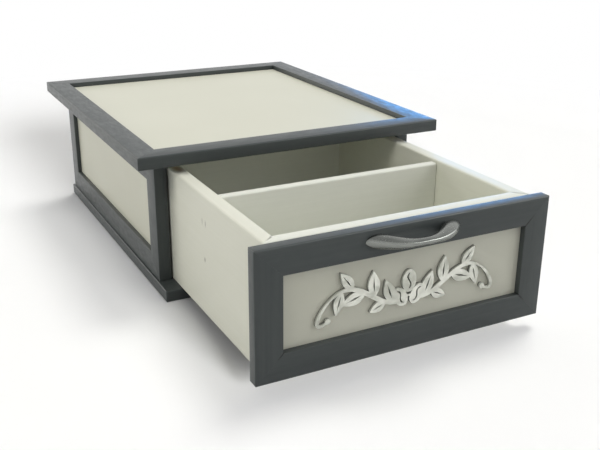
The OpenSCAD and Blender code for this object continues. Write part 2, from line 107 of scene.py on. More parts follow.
# Cream paint on the boards and on the smooth panels
CREAM_THIN = (0.70, 0.705, 0.615)
CREAM_THICK = (0.72, 0.725, 0.64)
# Inside of the drawer: a paler, less yellow copy of the cream, which is painted light that lightens the
# drawer's inside
CREAM_INSIDE_PAINTED_LIGHT_THIN = (0.725, 0.735, 0.67)
CREAM_INSIDE_PAINTED_LIGHT_THICK = (0.75, 0.76, 0.695)
CREAM_ROUGHNESS = 0.42
CREAM_RELIEF = 0.04 * MM
PANEL_THIN = (0.60, 0.60, 0.505)
PANEL_THICK = (0.63, 0.63, 0.54)
PANEL_ROUGHNESS = (0.38, 0.46)
PANEL_STIPPLE = (620, 620)
PANEL_CLOUDS = (9, 9)
STIPPLE_RELIEF = 0.035 * MM

# Plated metal
NICKEL = (0.25, 0.26, 0.243)
NICKEL_ROUGHNESS = 0.24
NICKEL_RELIEF = 0.0004 * MM
ZINC = (0.50, 0.51, 0.52)
ZINC_ROUGHNESS = 0.34
ZINC_RELIEF = 0.01 * MM
METAL_SCRATCHES = (90, 2600)
METAL_CLOUDS = (60, 60)
METAL_CLOUD_RANGE = (0.35, 0.65)
METAL_SHADE = 0.86  # share of its colour that the metal keeps where it is dull
METAL_SMOOTHER = 0.03
METAL_ROUGHER = 0.04

# Mirror acrylic, whose colour holds painted reflection in pale and dull patches, and its cut walls
MIRROR_PAINTED_PALE_REFLECTION = (0.66, 0.67, 0.61)
MIRROR_PAINTED_DULL_REFLECTION = (0.42, 0.43, 0.38)
MIRROR_ROUGHNESS = 0.06  # the shader's plain value; that of the dust goes over it
PAINTED_REFLECTION_PATCHES = (38, 55)
PAINTED_REFLECTION_RANGE = (0.36, 0.62)
DUST = (700, 700)
DUST_RANGE = (0.4, 0.75)
DUST_ROUGHNESS = (0.04, 0.16)  # from clean to dusty
CUT_EDGE = (0.42, 0.43, 0.39)
CUT_EDGE_DARK = (0.10, 0.10, 0.09)
CUT_ROUGHNESS = 0.2
ACRYLIC_IOR = 1.49
WALL_TILT = 0.5  # a face whose normal points less than this along Y is a wall

# Places of a Mix node's number and colour sockets, which share their names
NUMBER_A, NUMBER_B, NUMBER_OUT = 2, 3, 0
COLOUR_A, COLOUR_B, COLOUR_OUT = 6, 7, 2

# Edges
SEAM = 0.25 * MM  # bevel where two painted pieces meet
PANEL_EDGE = 0.3 * MM
EDGE_SEGMENTS = 3
SHARP_EDGE = 50  # degrees from which an edge is bevelled
BOARD_ROUND = 2 * MM  # top edges of the drawer's side boards
BOARD_ROUND_SEGMENTS = 6
BOARD_EDGE_SEGMENTS = 2
WOOD_SMOOTH = 40  # degrees up to which shading is smooth
HANDLE_SMOOTH = 35
ORNAMENT_SMOOTH = 30
MERGE = 0.001 * MM
FLAT = 0.5  # degrees up to which two faces are one

# Mitres of the drawer front that have opened: side, level, length from the inner corner, and width
MITRE_GAPS = (
    ("right", "top", 16 * MM, 2.2 * MM),
    ("right", "bottom", 12 * MM, 2.2 * MM),
    ("left", "bottom", 9 * MM, 1.5 * MM),
)
GAP_DEPTH = 8 * MM
GAP_SOFTNESS = 0.6
GAP_STRENGTH = 0.9
GAP_DARK = (0.008, 0.009, 0.009)

# Marks of use on the left board, as half sizes
BRAD_HEAD = 1.1 * MM  # from an end of the row of brads to the middle of a mark
MARK_HALF = 1.3 * MM
UPPER_MARK = (MARK_HALF, MARK_HALF, 3.5 * MARK_HALF)
LOWER_MARK = (MARK_HALF, 1.3 * MARK_HALF, 2.6 * MARK_HALF)
MARK_SPACING = 8 * MM
MARK_SOFTNESS = 0.7
FILLER = (0.22, 0.21, 0.17)
RUBBED_HALF = (6.0 * MM, 14 * MM, 3 * MM)
RUBBED_BEHIND = 17 * MM  # behind the front edge of the top
RUBBED_SOFTNESS = 0.7
RUBBED_STRENGTH = 0.7
BARE_WOOD = (0.36, 0.21, 0.08)

# Bow handle
GRIP_HEIGHT = 6.5 * MM
GRIP_THICKNESS = 9.0 * MM
GRIP_SPAN = 54 * MM  # arch between the feet
SCREW_PITCH = 76 * MM
BOW_POWER = 2.9  # of the bow's outer curve; a higher one makes squarer shoulders
GRIP_SHARE = 0.16  # share of the half length over which the grip keeps its height
FOOT_SHARE = 0.46  # share of the screws' pitch from which a foot has its full height
FOOT_SINK = 0.6  # how far a foot goes behind its seat before it is cut off there, as a share of its depth
TIP_LENGTH = 0.9  # of the rounded tip, as a share of the foot's height
TIP_DEPTH = 0.03  # least depth, as a share of the reach
TIP_ROUNDNESS = 0.02  # least square of the share of its height that the tip keeps
STATIONS = 26
ROUNDING_LEVELS = 3

# Profile of the handle, a ring of one unit
RING_CORNERS = 10
RING_SWELL = 1.066  # a ring of ten corners shrinks by this when it is subdivided
FRONT_CORNER = -0.99  # only the front's middle corner lies before this
FRONT_CORNERS = -0.6  # the front's three corners lie before this
HOLLOW = 0.34  # share of the half thickness by which the front's middle corner lies back
RIDGE_LIFT = 0.25  # share of the half height by which the hollow and its ridges lie above the middle
RIDGE_REACH = 0.8  # the ridges stand further out than this share of the half thickness
RIDGE_CREASE = 0.3


# ---------- Camera, floor and light ----------

def add_camera():
    """Camera in front of the object and to its left, a little above it."""
    camera = bpy.data.objects.new("camera", bpy.data.cameras.new("camera"))
    camera.location = CAMERA_PLACE
    camera.rotation_euler = [math.radians(angle) for angle in CAMERA_TURN]
    camera.data.lens = CAMERA_LENS
    camera.data.sensor_width = SENSOR_WIDTH
    bpy.context.collection.objects.link(camera)
    bpy.context.scene.camera = camera


def facing(place, target):
    """Turn of a lamp or sheet at place that shines at the target."""
    return (Vector(place) - Vector(target)).to_track_quat("Z", "Y").to_euler()


def seen_directly(tree):
    """1 for rays that show the background itself: to the camera, in metal or through glass."""
    rays = tree.nodes.new("ShaderNodeLightPath")
    either = combine(tree, "MAXIMUM", rays.outputs["Is Camera Ray"], rays.outputs["Is Glossy Ray"])
    return combine(tree, "MAXIMUM", either, rays.outputs["Is Transmission Ray"])


def floor_finish():
    """Matt near the object, where its shadow lies, and plain white further out."""
    finish, tree = bare_finish("pale_floor")
    direct = seen_directly(tree)
    lit = tree.nodes.new("ShaderNodeBsdfDiffuse")
    tree.links.new(blend_colours(tree, direct, FLOOR_BOUNCE, FLOOR_SHOWN), lit.inputs["Color"])
    white = tree.nodes.new("ShaderNodeEmission")
    coordinates = tree.nodes.new("ShaderNodeTexCoord")
    distance = tree.nodes.new("ShaderNodeVectorMath")
    distance.operation = "DISTANCE"
    distance.inputs[1].default_value = SHADOW_MIDDLE
    tree.links.new(coordinates.outputs["Object"], distance.inputs[0])
    fade = spread(tree, distance.outputs["Value"], FADE_START, FADE_END, FLOOR_LIFT, 1.0)
    mix = tree.nodes.new("ShaderNodeMixShader")
    tree.links.new(combine(tree, "MULTIPLY", fade, direct), mix.inputs["Fac"])
    tree.links.new(lit.outputs["BSDF"], mix.inputs[1])
    tree.links.new(white.outputs["Emission"], mix.inputs[2])
    show(tree, mix.outputs["Shader"])
    return finish


def pale_floor():
    """Wide white floor under the object."""
    bpy.ops.object.select_all(action="DESELECT")
    bpy.ops.mesh.primitive_plane_add(size=FLOOR_SIZE)
    floor = bpy.context.object
    floor.name = "floor"
    floor.data.materials.append(floor_finish())
    return floor


def soft_surroundings(strength):
    """Even light from all round. The camera and glossy surfaces see it as white, with a duller ceiling."""
    world = bpy.data.worlds.new("surroundings")
    bpy.context.scene.world = world
    world.use_nodes = True
    tree = world.node_tree
    background = tree.nodes["Background"]
    background.inputs["Color"].default_value = (1, 1, 1, 1)
    coordinates = tree.nodes.new("ShaderNodeTexCoord")
    direction = tree.nodes.new("ShaderNodeSeparateXYZ")
    tree.links.new(coordinates.outputs["Generated"], direction.inputs["Vector"])
    shown = spread(tree, direction.outputs["Z"], CEILING_START, CEILING_END, 1.0, CEILING_SHOWN)
    level = tree.nodes.new("ShaderNodeMix")
    level.inputs[NUMBER_A].default_value = strength
    tree.links.new(seen_directly(tree), level.inputs["Factor"])
    tree.links.new(shown, level.inputs[NUMBER_B])
    tree.links.new(level.outputs[NUMBER_OUT], background.inputs["Strength"])


def distant_light(name, direction, level, spread_deg, colour=(1, 1, 1)):
    """Broad far light from a direction; level is what it gives a white surface that faces it."""
    lamp = bpy.data.objects.new(name, bpy.data.lights.new(name, "SUN"))
    lamp.rotation_euler = facing(direction, (0, 0, 0))
    lamp.data.energy = level * math.pi
    lamp.data.angle = math.radians(spread_deg)
    lamp.data.color = colour
    bpy.context.collection.objects.link(lamp)
    return lamp


def link_to_floor(lamp, floor, state):
    """Lets a lamp light only the floor (INCLUDE) or all but the floor (EXCLUDE)."""
    receivers = bpy.data.collections.new(f"{lamp.name}_receivers")
    receivers.objects.link(floor)
    receivers.collection_objects[0].light_linking.link_state = state
    lamp.light_linking.receiver_collection = receivers


def window_panel():
    """Bright panel that only polished and painted surfaces show, as they show a window."""
    lamp = bpy.data.objects.new("window_panel", bpy.data.lights.new("window_panel", "AREA"))
    lamp.location = WINDOW_PLACE
    lamp.rotation_euler = facing(WINDOW_PLACE, WINDOW_FACES)
    lamp.data.shape = "RECTANGLE"
    lamp.data.size, lamp.data.size_y = WINDOW_SIZE
    lamp.data.energy = math.pi * WINDOW_SIZE[0] * WINDOW_SIZE[1]
    lamp.data.color = WINDOW
    lamp.visible_camera = False
    lamp.visible_diffuse = False
    bpy.context.collection.objects.link(lamp)


def sky_sheet():
    """Blue sheet far behind the object. Only glossy surfaces show it, in place of the white behind it."""
    bpy.ops.object.select_all(action="DESELECT")
    bpy.ops.mesh.primitive_plane_add(
        size=1, location=SKY_PLACE, rotation=facing(SKY_PLACE, SKY_FACES))
    sheet = bpy.context.object
    sheet.name = "sky_sheet"
    sheet.scale = (*SKY_SIZE, 1)
    finish, tree = bare_finish("sky_blue")
    glow = tree.nodes.new("ShaderNodeEmission")
    glow.inputs["Color"].default_value = (*SKY, 1)
    show(tree, glow.outputs["Emission"])
    sheet.data.materials.append(finish)
    sheet.visible_camera = False
    sheet.visible_diffuse = False
    sheet.visible_transmission = False
    sheet.visible_shadow = False


def light_the_scene(floor):
    """A key lamp for all, side lamps for the object alone, and a low lamp for the floor's shadow alone."""
    soft_surroundings(SURROUNDINGS)
    key = distant_light("key_light", *KEY_LIGHT, PALE_WARM)
    left = distant_light("left_light", *LEFT_LIGHT, WARM)
    back = distant_light("back_light", *BACK_LIGHT, WARM)
    right = distant_light("right_light", *RIGHT_LIGHT)
    shadow = distant_light("shadow_light", *SHADOW_LIGHT)
    for lamp in (key, left):
        lamp.visible_glossy = False
    for lamp in (left, back, right):
        link_to_floor(lamp, floor, "EXCLUDE")
    link_to_floor(shadow, floor, "INCLUDE")
    sky_sheet()
    window_panel()


# ---------- Finishes ----------

def bare_finish(name):
    """A material and its node tree, which holds no nodes yet."""
    finish = bpy.data.materials.new(name)
    finish.use_nodes = True
    finish.node_tree.nodes.clear()
    return finish, finish.node_tree


def show(tree, shader_output):
    """Makes a shader the one that the surface has."""
    output = tree.nodes.new("ShaderNodeOutputMaterial")
    tree.links.new(shader_output, output.inputs["Surface"])


def new_finish(name, roughness, metallic=0.0):
    """A material and its node tree, with the Principled shader set."""
    finish = bpy.data.materials.new(name)
    finish.use_nodes = True
    tree = finish.node_tree
    shader = tree.nodes["Principled BSDF"]
    shader.inputs["Roughness"].default_value = roughness
    shader.inputs["Metallic"].default_value = metallic
    return finish, tree, shader


def along_grain(tree, grain, along, across):
    """Object coordinates drawn out along the grain; along and across are repeats per metre."""
    coordinates = tree.nodes.new("ShaderNodeTexCoord")
    mapping = tree.nodes.new("ShaderNodeMapping")
    mapping.inputs["Scale"].default_value = [along if axis == grain else across for axis in "xyz"]
    tree.links.new(coordinates.outputs["Object"], mapping.inputs["Vector"])
    return mapping.outputs["Vector"]


def noise(tree, vector, detail, roughness=0.5, distortion=0.0):
    """Noise from 0 to 1 over a vector that already holds its scale."""
    texture = tree.nodes.new("ShaderNodeTexNoise")
    texture.inputs["Scale"].default_value = 1.0
    texture.inputs["Detail"].default_value = detail
    texture.inputs["Roughness"].default_value = roughness
    texture.inputs["Distortion"].default_value = distortion
    tree.links.new(vector, texture.inputs["Vector"])
    return texture.outputs["Fac"]


def spread(tree, value, low, high, new_low=0.0, new_high=1.0):
    """Stretches the values from low to high over a new range."""
    node = tree.nodes.new("ShaderNodeMapRange")
    node.inputs["From Min"].default_value = low
    node.inputs["From Max"].default_value = high
    node.inputs["To Min"].default_value = new_low
    node.inputs["To Max"].default_value = new_high
    tree.links.new(value, node.inputs["Value"])
    return node.outputs["Result"]


def combine(tree, operation, first, second):
    """Math of a value with another value or a plain number."""
    node = tree.nodes.new("ShaderNodeMath")
    node.operation = operation
    tree.links.new(first, node.inputs[0])
    if isinstance(second, (int, float)):
        node.inputs[1].default_value = second
    else:
        tree.links.new(second, node.inputs[1])
    return node.outputs["Value"]


def blend_colours(tree, share, first, second):
    """Colour that goes from first to second; each is a colour or another node's output."""
    node = tree.nodes.new("ShaderNodeMix")
    node.data_type = "RGBA"
    tree.links.new(share, node.inputs["Factor"])
    for socket, colour in ((node.inputs[COLOUR_A], first), (node.inputs[COLOUR_B], second)):
        if isinstance(colour, tuple):
            socket.default_value = (*colour, 1)
        else:
            tree.links.new(colour, socket)
    return node.outputs[COLOUR_OUT]


def raise_surface(tree, shader, height, distance):
    """Bump from a height of 0 to 1, as deep as distance."""
    bump = tree.nodes.new("ShaderNodeBump")
    bump.inputs["Distance"].default_value = distance
    tree.links.new(height, bump.inputs["Height"])
    tree.links.new(bump.outputs["Normal"], shader.inputs["Normal"])


def spot(tree, centre, size, softness, turn=0.0):
    """1 inside an oval about centre, 0 outside it. Size is its half lengths before the turn about Y."""
    coordinates = tree.nodes.new("ShaderNodeTexCoord")
    oval = tree.nodes.new("ShaderNodeMapping")
    oval.vector_type = "TEXTURE"
    oval.inputs["Location"].default_value = centre
    oval.inputs["Rotation"].default_value = (0, turn, 0)
    oval.inputs["Scale"].default_value = size
    tree.links.new(coordinates.outputs["Object"], oval.inputs["Vector"])
    length = tree.nodes.new("ShaderNodeVectorMath")
    length.operation = "LENGTH"
    tree.links.new(oval.outputs["Vector"], length.inputs[0])
    return spread(tree, length.outputs["Value"], 1.0, 1.0 - softness)


def brushed_paint(name, grain, thin, thick, roughness, relief):
    """Paint brushed on wood: streaks and the grain run along the board, cloudy patches lie over them."""
    finish, tree, shader = new_finish(name, roughness)
    shader.inputs["IOR"].default_value = PAINT_IOR
    streaks = noise(tree, along_grain(tree, grain, *STREAKS), detail=4, roughness=0.6)
    pores = noise(tree, along_grain(tree, grain, *PORES), detail=2)
    clouds = noise(tree, along_grain(tree, grain, *CLOUDS), detail=4, roughness=0.7)
    streak_part = combine(tree, "MULTIPLY", streaks, STREAK_SHARE)
    cloud_part = combine(tree, "MULTIPLY", clouds, CLOUD_SHARE)
    body = combine(tree, "ADD", streak_part, cloud_part)
    colour = blend_colours(tree, spread(tree, body, *PAINT_RANGE), thin, thick)
    tree.links.new(colour, shader.inputs["Base Color"])
    sheen = spread(tree, clouds, *NOISE_RANGE, roughness - SMOOTHER, roughness + ROUGHER)
    tree.links.new(sheen, shader.inputs["Roughness"])
    height = combine(tree, "ADD", streaks, combine(tree, "MULTIPLY", pores, PORE_HEIGHT))
    raise_surface(tree, shader, height, relief)
    return finish, tree, shader, colour


def brushed_grey(name, grain):
    """The grey paint, and what another layer needs to go over it."""
    return brushed_paint(name, grain, GREY_THIN, GREY_THICK, GREY_ROUGHNESS, GREY_RELIEF)


def brushed_cream(name, grain, thin=CREAM_THIN, thick=CREAM_THICK):
    """The cream paint, and what another layer needs to go over it."""
    return brushed_paint(name, grain, thin, thick, CREAM_ROUGHNESS, CREAM_RELIEF)


def grey_paint(grain):
    """The frames of the top and the sides, the base and the back."""
    return brushed_grey(f"grey_paint_{grain}", grain)[0]


def cream_paint(grain):
    """The drawer's right board."""
    return brushed_cream(f"cream_paint_{grain}", grain)[0]


def inside_paint_with_painted_light():
    """The drawer's cross boards and bottom, in a paler, less yellow copy of the cream: painted light that
    lightens the drawer's inside.
    """
    return brushed_cream("cream_paint_inside_painted_light", "x", CREAM_INSIDE_PAINTED_LIGHT_THIN, CREAM_INSIDE_PAINTED_LIGHT_THICK)[0]


def mitre_ends(side, level):
    """The inner and the outer corner of one mitre of the drawer front."""
    stile_low, stile_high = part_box(f"drawer_front_{side}_stile")
    rail_low, rail_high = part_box(f"drawer_front_{level}_rail")
    inner_x, outer_x = (stile_high.x, stile_low.x) if side == "left" else (stile_low.x, stile_high.x)
    inner_z, outer_z = (rail_low.z, rail_high.z) if level == "top" else (rail_high.z, rail_low.z)
    return Vector((inner_x, rail_low.y, inner_z)), Vector((outer_x, rail_low.y, outer_z))


def drawer_front_paint(grain):
    """Grey paint with the dark gaps of three mitres that have opened a little at the panel's corners."""
    finish, tree, shader, colour = brushed_grey(f"grey_paint_front_{grain}", grain)
    for side, level, length, width in MITRE_GAPS:
        inner, outer = mitre_ends(side, level)
        run = outer - inner
        turn = -math.atan2(run.z, run.x)
        gap = spot(tree, inner, (length, GAP_DEPTH, width / 2), GAP_SOFTNESS, turn)
        colour = blend_colours(tree, combine(tree, "MULTIPLY", gap, GAP_STRENGTH), colour, GAP_DARK)
    tree.links.new(colour, shader.inputs["Base Color"])
    return finish


def left_board_paint():
    """Cream paint with the marks of filled brad holes, two above and one below, and a rubbed place."""
    finish, tree, shader, colour = brushed_cream("cream_paint_left_board", "y")
    low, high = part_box("divider_brads")
    board_low, board_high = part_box("drawer_left_board")
    depth = (low.y + high.y) / 2
    upper = high.z - BRAD_HEAD
    lower = low.z + BRAD_HEAD
    marks = (  # place along the board, level, half size and strength
        (depth - MARK_SPACING / 2, upper, UPPER_MARK, 0.75),
        (depth + MARK_SPACING / 2, upper, UPPER_MARK, 0.6),
        (depth, lower, LOWER_MARK, 1.0),
    )
    for place, level, size, strength in marks:
        mark = spot(tree, (board_low.x, place, level), size, MARK_SOFTNESS)
        colour = blend_colours(tree, combine(tree, "MULTIPLY", mark, strength), colour, FILLER)
    rubbed_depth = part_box("top_frame_front_rail")[0].y + RUBBED_BEHIND
    rubbed_place = ((board_low.x + board_high.x) / 2, rubbed_depth, board_high.z)
    rubbed = spot(tree, rubbed_place, RUBBED_HALF, RUBBED_SOFTNESS)
    colour = blend_colours(tree, combine(tree, "MULTIPLY", rubbed, RUBBED_STRENGTH), colour, BARE_WOOD)
    tree.links.new(colour, shader.inputs["Base Color"])
    return finish


def cream_panel():
    """Cream paint rolled on a smooth panel: a fine stipple and hardly any streaks."""
    finish, tree, shader = new_finish("cream_panel", CREAM_ROUGHNESS)
    shader.inputs["IOR"].default_value = PAINT_IOR
    stipple = noise(tree, along_grain(tree, "x", *PANEL_STIPPLE), detail=2)
    clouds = noise(tree, along_grain(tree, "x", *PANEL_CLOUDS), detail=3)
    colour = blend_colours(tree, spread(tree, clouds, *NOISE_RANGE), PANEL_THIN, PANEL_THICK)
    tree.links.new(colour, shader.inputs["Base Color"])
    tree.links.new(spread(tree, clouds, *NOISE_RANGE, *PANEL_ROUGHNESS), shader.inputs["Roughness"])
    raise_surface(tree, shader, stipple, STIPPLE_RELIEF)
    return finish


def brushed_metal(name, colour, roughness, relief):
    """Plated metal with fine scratches along X."""
    finish, tree, shader = new_finish(name, roughness, metallic=1.0)
    scratches = noise(tree, along_grain(tree, "x", *METAL_SCRATCHES), detail=3)
    clouds = noise(tree, along_grain(tree, "x", *METAL_CLOUDS), detail=2)
    dark = tuple(METAL_SHADE * part for part in colour)
    shade = blend_colours(tree, spread(tree, clouds, *METAL_CLOUD_RANGE), dark, colour)
    tree.links.new(shade, shader.inputs["Base Color"])
    sheen = spread(tree, scratches, *NOISE_RANGE, roughness - METAL_SMOOTHER, roughness + METAL_ROUGHER)
    tree.links.new(sheen, shader.inputs["Roughness"])
    raise_surface(tree, shader, scratches, relief)
    return finish


def mirror_acrylic():
    """Face of the mirror sheet: painted reflection in pale and dull patches of colour, and a fine dust."""
    finish, tree, shader = new_finish("mirror_acrylic", MIRROR_ROUGHNESS, metallic=1.0)
    # painted reflection: this noise mixes a pale and a dull colour in place of what the mirror reflects
    patches = noise(
        tree, along_grain(tree, "x", *PAINTED_REFLECTION_PATCHES), detail=2, roughness=0.6, distortion=0.8)
    dust = noise(tree, along_grain(tree, "x", *DUST), detail=2)
    shade = blend_colours(tree, spread(tree, patches, *PAINTED_REFLECTION_RANGE), MIRROR_PAINTED_PALE_REFLECTION, MIRROR_PAINTED_DULL_REFLECTION)
    tree.links.new(shade, shader.inputs["Base Color"])
    tree.links.new(spread(tree, dust, *DUST_RANGE, *DUST_ROUGHNESS), shader.inputs["Roughness"])
    return finish


def cut_acrylic():
    """Polished cut walls of the sheet: pale at the face and darker towards the back."""
    finish, tree, shader = new_finish("cut_acrylic", CUT_ROUGHNESS)
    shader.inputs["IOR"].default_value = ACRYLIC_IOR
    low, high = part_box("front_ornament")
    coordinates = tree.nodes.new("ShaderNodeTexCoord")
    place = tree.nodes.new("ShaderNodeSeparateXYZ")
    tree.links.new(coordinates.outputs["Object"], place.inputs["Vector"])
    depth = spread(tree, place.outputs["Y"], (low.y + high.y) / 2, high.y)
    tree.links.new(blend_colours(tree, depth, CUT_EDGE, CUT_EDGE_DARK), shader.inputs["Base Color"])
    return finish


# ---------- Making pieces ----------

def pick(piece):
    """Makes piece the one selected and active object."""
    bpy.ops.object.select_all(action="DESELECT")
    piece.select_set(True)
    bpy.context.view_layer.objects.active = piece


def smooth(piece, angle_deg):
    """Smooth shading, with edges sharper than the angle kept."""
    pick(piece)
    bpy.ops.object.shade_smooth_by_angle(angle=math.radians(angle_deg))


def bevel_edges(piece, width, segments):
    """Rounds every sharp edge."""
    pick(piece)
    bevel = piece.modifiers.new("edges", "BEVEL")
    bevel.width = width
    bevel.segments = segments
    bevel.limit_method = "ANGLE"
    bevel.angle_limit = math.radians(SHARP_EDGE)
    bevel.harden_normals = True
    bpy.ops.object.modifier_apply(modifier=bevel.name)


def merged_copy(node, whole_faces=True):
    """Copy of a CAD node with its loose triangles joined and, if wanted, its flat faces made whole."""
    piece = bpy.data.objects.new(f"{node}_finished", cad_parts[node].data.copy())
    bpy.context.collection.objects.link(piece)
    piece.data.materials.clear()
    pick(piece)
    bpy.ops.mesh.customdata_custom_splitnormals_clear()
    bpy.ops.object.mode_set(mode="EDIT")
    bpy.ops.mesh.select_all(action="SELECT")
    bpy.ops.mesh.remove_doubles(threshold=MERGE)
    if whole_faces:
        bpy.ops.mesh.dissolve_limited(angle_limit=math.radians(FLAT))
    bpy.ops.object.mode_set(mode="OBJECT")
    return piece


def stand_for(piece, node, body, finish):
    """Puts the finished piece in the place of its CAD node."""
    piece.data.materials.append(finish)
    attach(piece, body)
    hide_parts(node)


def finished_node(node, body, finish, width):
    """A CAD node's own shape with its corners softened and seams opened a little."""
    piece = merged_copy(node)
    smooth(piece, WOOD_SMOOTH)
    bevel_edges(piece, width, EDGE_SEGMENTS)
    stand_for(piece, node, body, finish)


def keep_node(node, finish):
    """A CAD node that stays as it is, with its finish."""
    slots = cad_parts[node].data.materials
    slots.clear()
    slots.append(finish)


# ---------- Pieces modelled anew ----------

def new_piece(name):
    """Names the primitive just added and puts its place in its mesh."""
    piece = bpy.context.object
    piece.name = name
    bpy.ops.object.transform_apply(location=True, rotation=True, scale=True)
    return piece


def select_nothing(piece):
    """Leaves edit mode with no corner, edge or face of the piece selected."""
    bpy.ops.object.mode_set(mode="OBJECT")
    for group in (piece.data.vertices, piece.data.edges, piece.data.polygons):
        group.foreach_set("select", [False] * len(group))


def edit_selected(kind):
    """Goes back to edit mode with what is selected, which is of one kind: VERT, EDGE or FACE."""
    bpy.ops.object.mode_set(mode="EDIT")
    bpy.ops.mesh.select_mode(type=kind)


def select_faces(piece, wanted):
    """In edit mode, leaves only the faces selected for which wanted(centre) holds."""
    select_nothing(piece)
    for face in piece.data.polygons:
        face.select = wanted(face.center)
    edit_selected("FACE")


def select_edges(piece, wanted):
    """In edit mode, leaves only the edges selected for which wanted(start, end) holds."""
    select_nothing(piece)
    for edge in piece.data.edges:
        start, end = (piece.data.vertices[index].co for index in edge.vertices)
        edge.select = wanted(start, end)
    edit_selected("EDGE")


def select_corners(piece, wanted):
    """In edit mode, leaves only the corners selected for which wanted(place) holds."""
    select_nothing(piece)
    for corner in piece.data.vertices:
        corner.select = wanted(corner.co)
    edit_selected("VERT")


def cut_across(place, normal):
    """Cuts the whole piece in edit mode along a plane, and keeps both sides."""
    bpy.ops.mesh.select_all(action="SELECT")
    bpy.ops.mesh.bisect(plane_co=place, plane_no=normal)


def cut_mitre(outer_corner, inner_corner, waste):
    """In edit mode, cuts a board's end off along the upright plane through two corners of its plan."""
    along = Vector(inner_corner) - Vector(outer_corner)
    normal = Vector((-along.y, along.x))
    if normal.dot(Vector(waste) - Vector(outer_corner)) < 0:
        normal.negate()
    bpy.ops.mesh.select_all(action="SELECT")
    bpy.ops.mesh.bisect(
        plane_co=(*outer_corner, 0), plane_no=(*normal, 0), use_fill=True, clear_outer=True)


def cut_groove(piece, inner_face, groove_end, low, high):
    """In edit mode, cuts a groove into the inner face for a bottom that reaches from low to high."""
    for level in (low.z, high.z):
        cut_across((0, 0, level), (0, 0, 1))
    for depth in (low.y, high.y):
        cut_across((0, depth, 0), (0, 1, 0))
    select_faces(piece, lambda centre: (
        abs(centre.x - inner_face) < NEAR
        and low.z < centre.z < high.z
        and low.y < centre.y < high.y))
    bpy.ops.mesh.extrude_region_move(TRANSFORM_OT_translate={"value": (groove_end - inner_face, 0, 0)})


def rounded_board(name, low, high):
    """Board from low to high with its long top edges rounded; left in edit mode."""
    bpy.ops.object.select_all(action="DESELECT")
    bpy.ops.mesh.primitive_cube_add(size=1, location=(low + high) / 2, scale=high - low)
    piece = new_piece(name)
    select_edges(piece, lambda start, end: (
        min(start.z, end.z) > high.z - NEAR and abs(start.x - end.x) < NEAR))
    bpy.ops.mesh.bevel(offset=BOARD_ROUND, segments=BOARD_ROUND_SEGMENTS, affect="EDGES")
    return piece


def drawer_side_board(side, finish):
    """Side board of the drawer: rounded top edges, a groove for the bottom and mitred ends."""
    node = f"drawer_{side}_board"
    low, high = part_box(node)
    floor_low, floor_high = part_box("drawer_bottom")
    if side == "left":
        outer_face, inner_face, groove_end = low.x, high.x, floor_low.x
    else:
        outer_face, inner_face, groove_end = high.x, low.x, floor_high.x
    piece = rounded_board(f"{node}_finished", low, high)
    cut_groove(piece, inner_face, groove_end, floor_low, floor_high)
    front_board_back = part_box("drawer_inner_front")[1].y
    back_board_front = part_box("drawer_back_board")[0].y
    for end_depth, board_depth in ((low.y, front_board_back), (high.y, back_board_front)):
        cut_mitre((outer_face, end_depth), (inner_face, board_depth), (inner_face, end_depth))
    bpy.ops.object.mode_set(mode="OBJECT")
    smooth(piece, WOOD_SMOOTH)
    bevel_edges(piece, PANEL_EDGE, BOARD_EDGE_SEGMENTS)
    stand_for(piece, node, "drawer", finish)


def handle_station(x, half, reach, foot_height):
    """Middle depth, half thickness and half height of the handle at x from its middle."""
    outer = reach * max(1 - (abs(x) / half) ** BOW_POWER, TIP_DEPTH)
    inner = max((reach - GRIP_THICKNESS) * (1 - (2 * x / GRIP_SPAN) ** 2), -FOOT_SINK * outer)
    grip_end = GRIP_SHARE * half
    widening = min(max((abs(x) - grip_end) / (FOOT_SHARE * SCREW_PITCH - grip_end), 0), 1)
    height = GRIP_HEIGHT + (foot_height - GRIP_HEIGHT) * widening * widening * (3 - 2 * widening)
    tip = TIP_LENGTH * foot_height
    past = max(abs(x) - half + tip, 0) / tip
    height *= math.sqrt(max(1 - past * past, TIP_ROUNDNESS))
    return (outer + inner) / 2, (outer - inner) / 2, height / 2


def handle_rings(low, high):
    """Place along X, middle depth, half thickness and half height of each ring, closer near the tips."""
    half = (high.x - low.x) / 2
    places = [half * math.sin(math.pi * (index / STATIONS - 0.5)) for index in range(STATIONS + 1)]
    return [(x, *handle_station(x, half, high.y - low.y, high.z - low.z)) for x in places]


def handle_profile():
    """Ring of one unit about X, facing -Y, with a shallow hollow in its front; left in edit mode."""
    bpy.ops.object.select_all(action="DESELECT")
    bpy.ops.mesh.primitive_circle_add(vertices=RING_CORNERS, radius=1, rotation=(0, math.pi / 2, 0))
    piece = new_piece("bow_handle_finished")
    bpy.ops.object.mode_set(mode="EDIT")
    bpy.ops.mesh.select_all(action="SELECT")
    bpy.ops.transform.rotate(value=math.pi / 2, orient_axis="X", center_override=(0, 0, 0))
    select_corners(piece, lambda place: place.y < FRONT_CORNER)
    bpy.ops.transform.translate(value=(0, HOLLOW, 0))
    select_corners(piece, lambda place: place.y < FRONT_CORNERS)
    bpy.ops.transform.translate(value=(0, 0, RIDGE_LIFT))
    bpy.ops.mesh.select_all(action="SELECT")
    return piece


